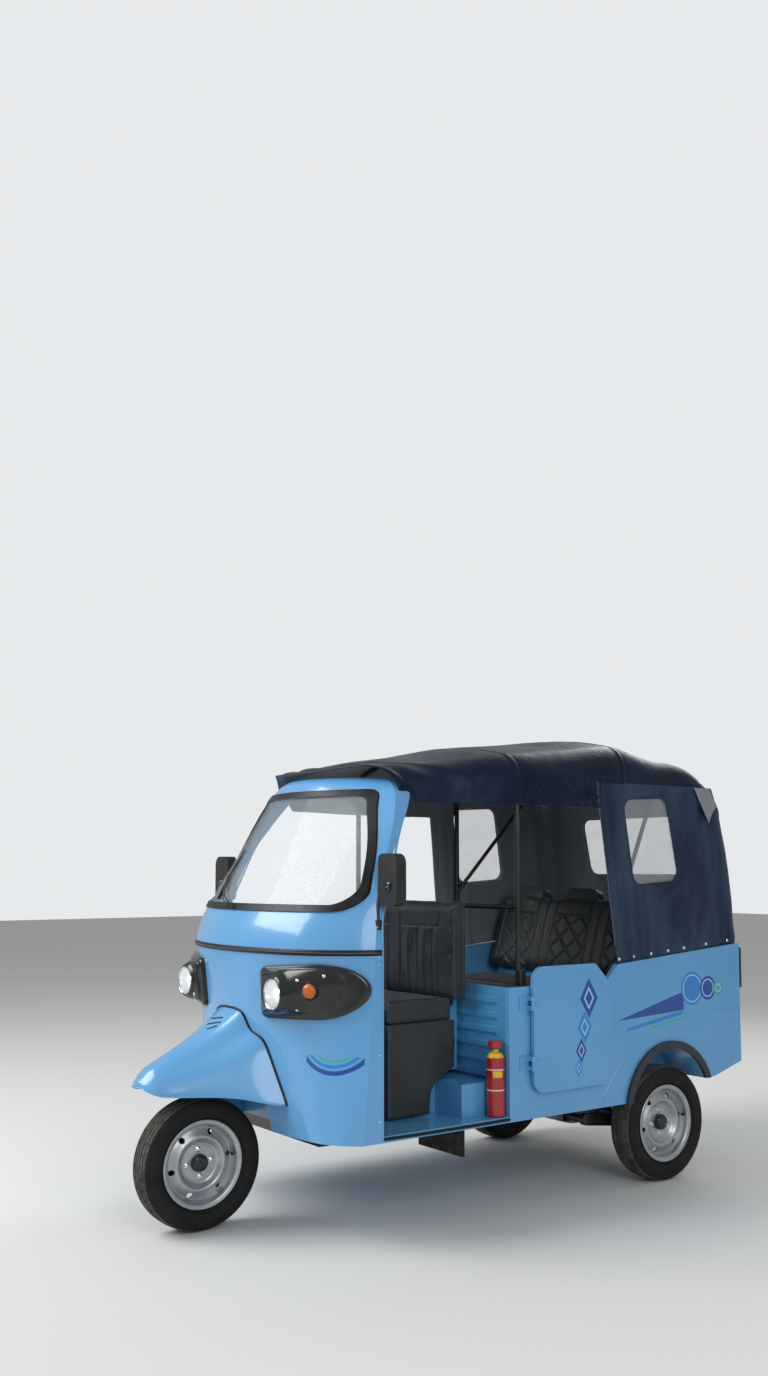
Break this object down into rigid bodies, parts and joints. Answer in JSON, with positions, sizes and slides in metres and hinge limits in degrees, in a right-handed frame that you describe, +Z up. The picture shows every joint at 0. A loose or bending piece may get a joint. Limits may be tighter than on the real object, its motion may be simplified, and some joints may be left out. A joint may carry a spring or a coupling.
{
  "type": "three-wheeled passenger taxi",
  "caption": "Three-wheeled taxi with an open driver's cab, steered front wheel, hinged side doors and engine lid, bench seats and a cloth canopy on bows.",
  "frame": {"origin": "on the ground in the middle plane, midway between the fender's tip and the tail lamps", "axes": "+X forward, +Y to the vehicle's left, +Z up"},
  "size_m": [2.901, 1.456, 2.0605],
  "materials": {
    "tyre": "ribbed rubber",
    "wheel_silver": "silver paint",
    "body_paint": "gloss paint",
    "clear_glass": "clear",
    "seal_rubber": "satin",
    "pod_plastic": "gloss",
    "lamp_lens": "clear",
    "chassis_paint": "satin black paint",
    "seat_vinyl": "stitched vinyl",
    "arch_plastic": "matt",
    "canopy_cloth": "coated cloth",
    "curtain_cloth": "coated cloth with a sheen",
    "engine_casting": "rough casting",
    "bottle_red": "gloss paint",
    "tail_red": "gloss"
  },
  "bodies": {
    "vehicle": {"cab_apron": "body_paint", "cab_cowl": "body_paint", "front_fender": "body_paint", "floor": "body_paint", "wheel_housing": "body_paint", "partition": "body_paint", "step_box": "body_paint", "driver_seat_box": "body_paint", "tub_left": "body_paint", "tub_right": "body_paint", "tub_rear": "body_paint", "passenger_seat_box": "body_paint", "hinges": "body_paint", "dash_shelf": "body_paint", "windscreen": "clear_glass", "windscreen_seal": "seal_rubber", "mud_flaps": "seal_rubber", "headlamp_pods": "pod_plastic", "mirrors": "pod_plastic", "front_lamps": "lamp_lens", "chassis": "chassis_paint", "trailing_arms": "chassis_paint", "drive_shafts": "chassis_paint", "steering_head": "chassis_paint", "canopy_frame": "chassis_paint", "driver_cushion": "seat_vinyl", "driver_backrest": "seat_vinyl", "seat_skirt": "seat_vinyl", "passenger_cushion": "seat_vinyl", "passenger_backrest": "seat_vinyl", "arch_trims": "arch_plastic", "canopy_roof": "canopy_cloth", "canopy_sides": "curtain_cloth", "canopy_back": "curtain_cloth", "engine": "engine_casting", "extinguisher": "bottle_red", "tail_lamps": "tail_red"},
    "steering": {"steering_column": "chassis_paint", "front_link": "chassis_paint", "handlebar": "chassis_paint"},
    "front_wheel_body": {"front_tyre": "tyre", "front_wheel": "wheel_silver"},
    "rear_left_wheel_body": {"rear_left_tyre": "tyre", "rear_left_wheel": "wheel_silver"},
    "rear_right_wheel_body": {"rear_right_tyre": "tyre", "rear_right_wheel": "wheel_silver"},
    "left_door": {"door_left": "body_paint"},
    "right_door": {"door_right": "body_paint"},
    "lid": {"engine_lid": "body_paint"}
  },
  "joints": [
    {"name": "steering_turn", "type": "hinge", "parent": "vehicle", "child": "steering", "pos_m": [1.12526, 0, 0.24244], "axis": [-0.342, 0, 0.9397], "range_deg": [-38, 38]},
    {"name": "front_wheel_spin", "type": "hinge", "parent": "steering", "child": "front_wheel_body", "pos_m": [1.1735, 0, 0.26], "axis": [0, 1, 0], "continuous": true},
    {"name": "rear_left_wheel_spin", "type": "hinge", "parent": "vehicle", "child": "rear_left_wheel_body", "pos_m": [-0.9265, 0.543, 0.26], "axis": [0, 1, 0], "continuous": true},
    {"name": "rear_right_wheel_spin", "type": "hinge", "parent": "vehicle", "child": "rear_right_wheel_body", "pos_m": [-0.9265, -0.543, 0.26], "axis": [0, 1, 0], "continuous": true},
    {"name": "left_door_swing", "type": "hinge", "parent": "vehicle", "child": "left_door", "pos_m": [-0.0275, 0.676, 0.75], "axis": [0, 0, -1], "range_deg": [0, 105]},
    {"name": "right_door_swing", "type": "hinge", "parent": "vehicle", "child": "right_door", "pos_m": [-0.0275, -0.676, 0.75], "axis": [0, 0, 1], "range_deg": [0, 105]},
    {"name": "engine_lid_swing", "type": "hinge", "parent": "vehicle", "child": "lid", "pos_m": [-1.4365, 0, 0.913], "axis": [0, 1, 0], "range_deg": [0, 78]}
  ]
}
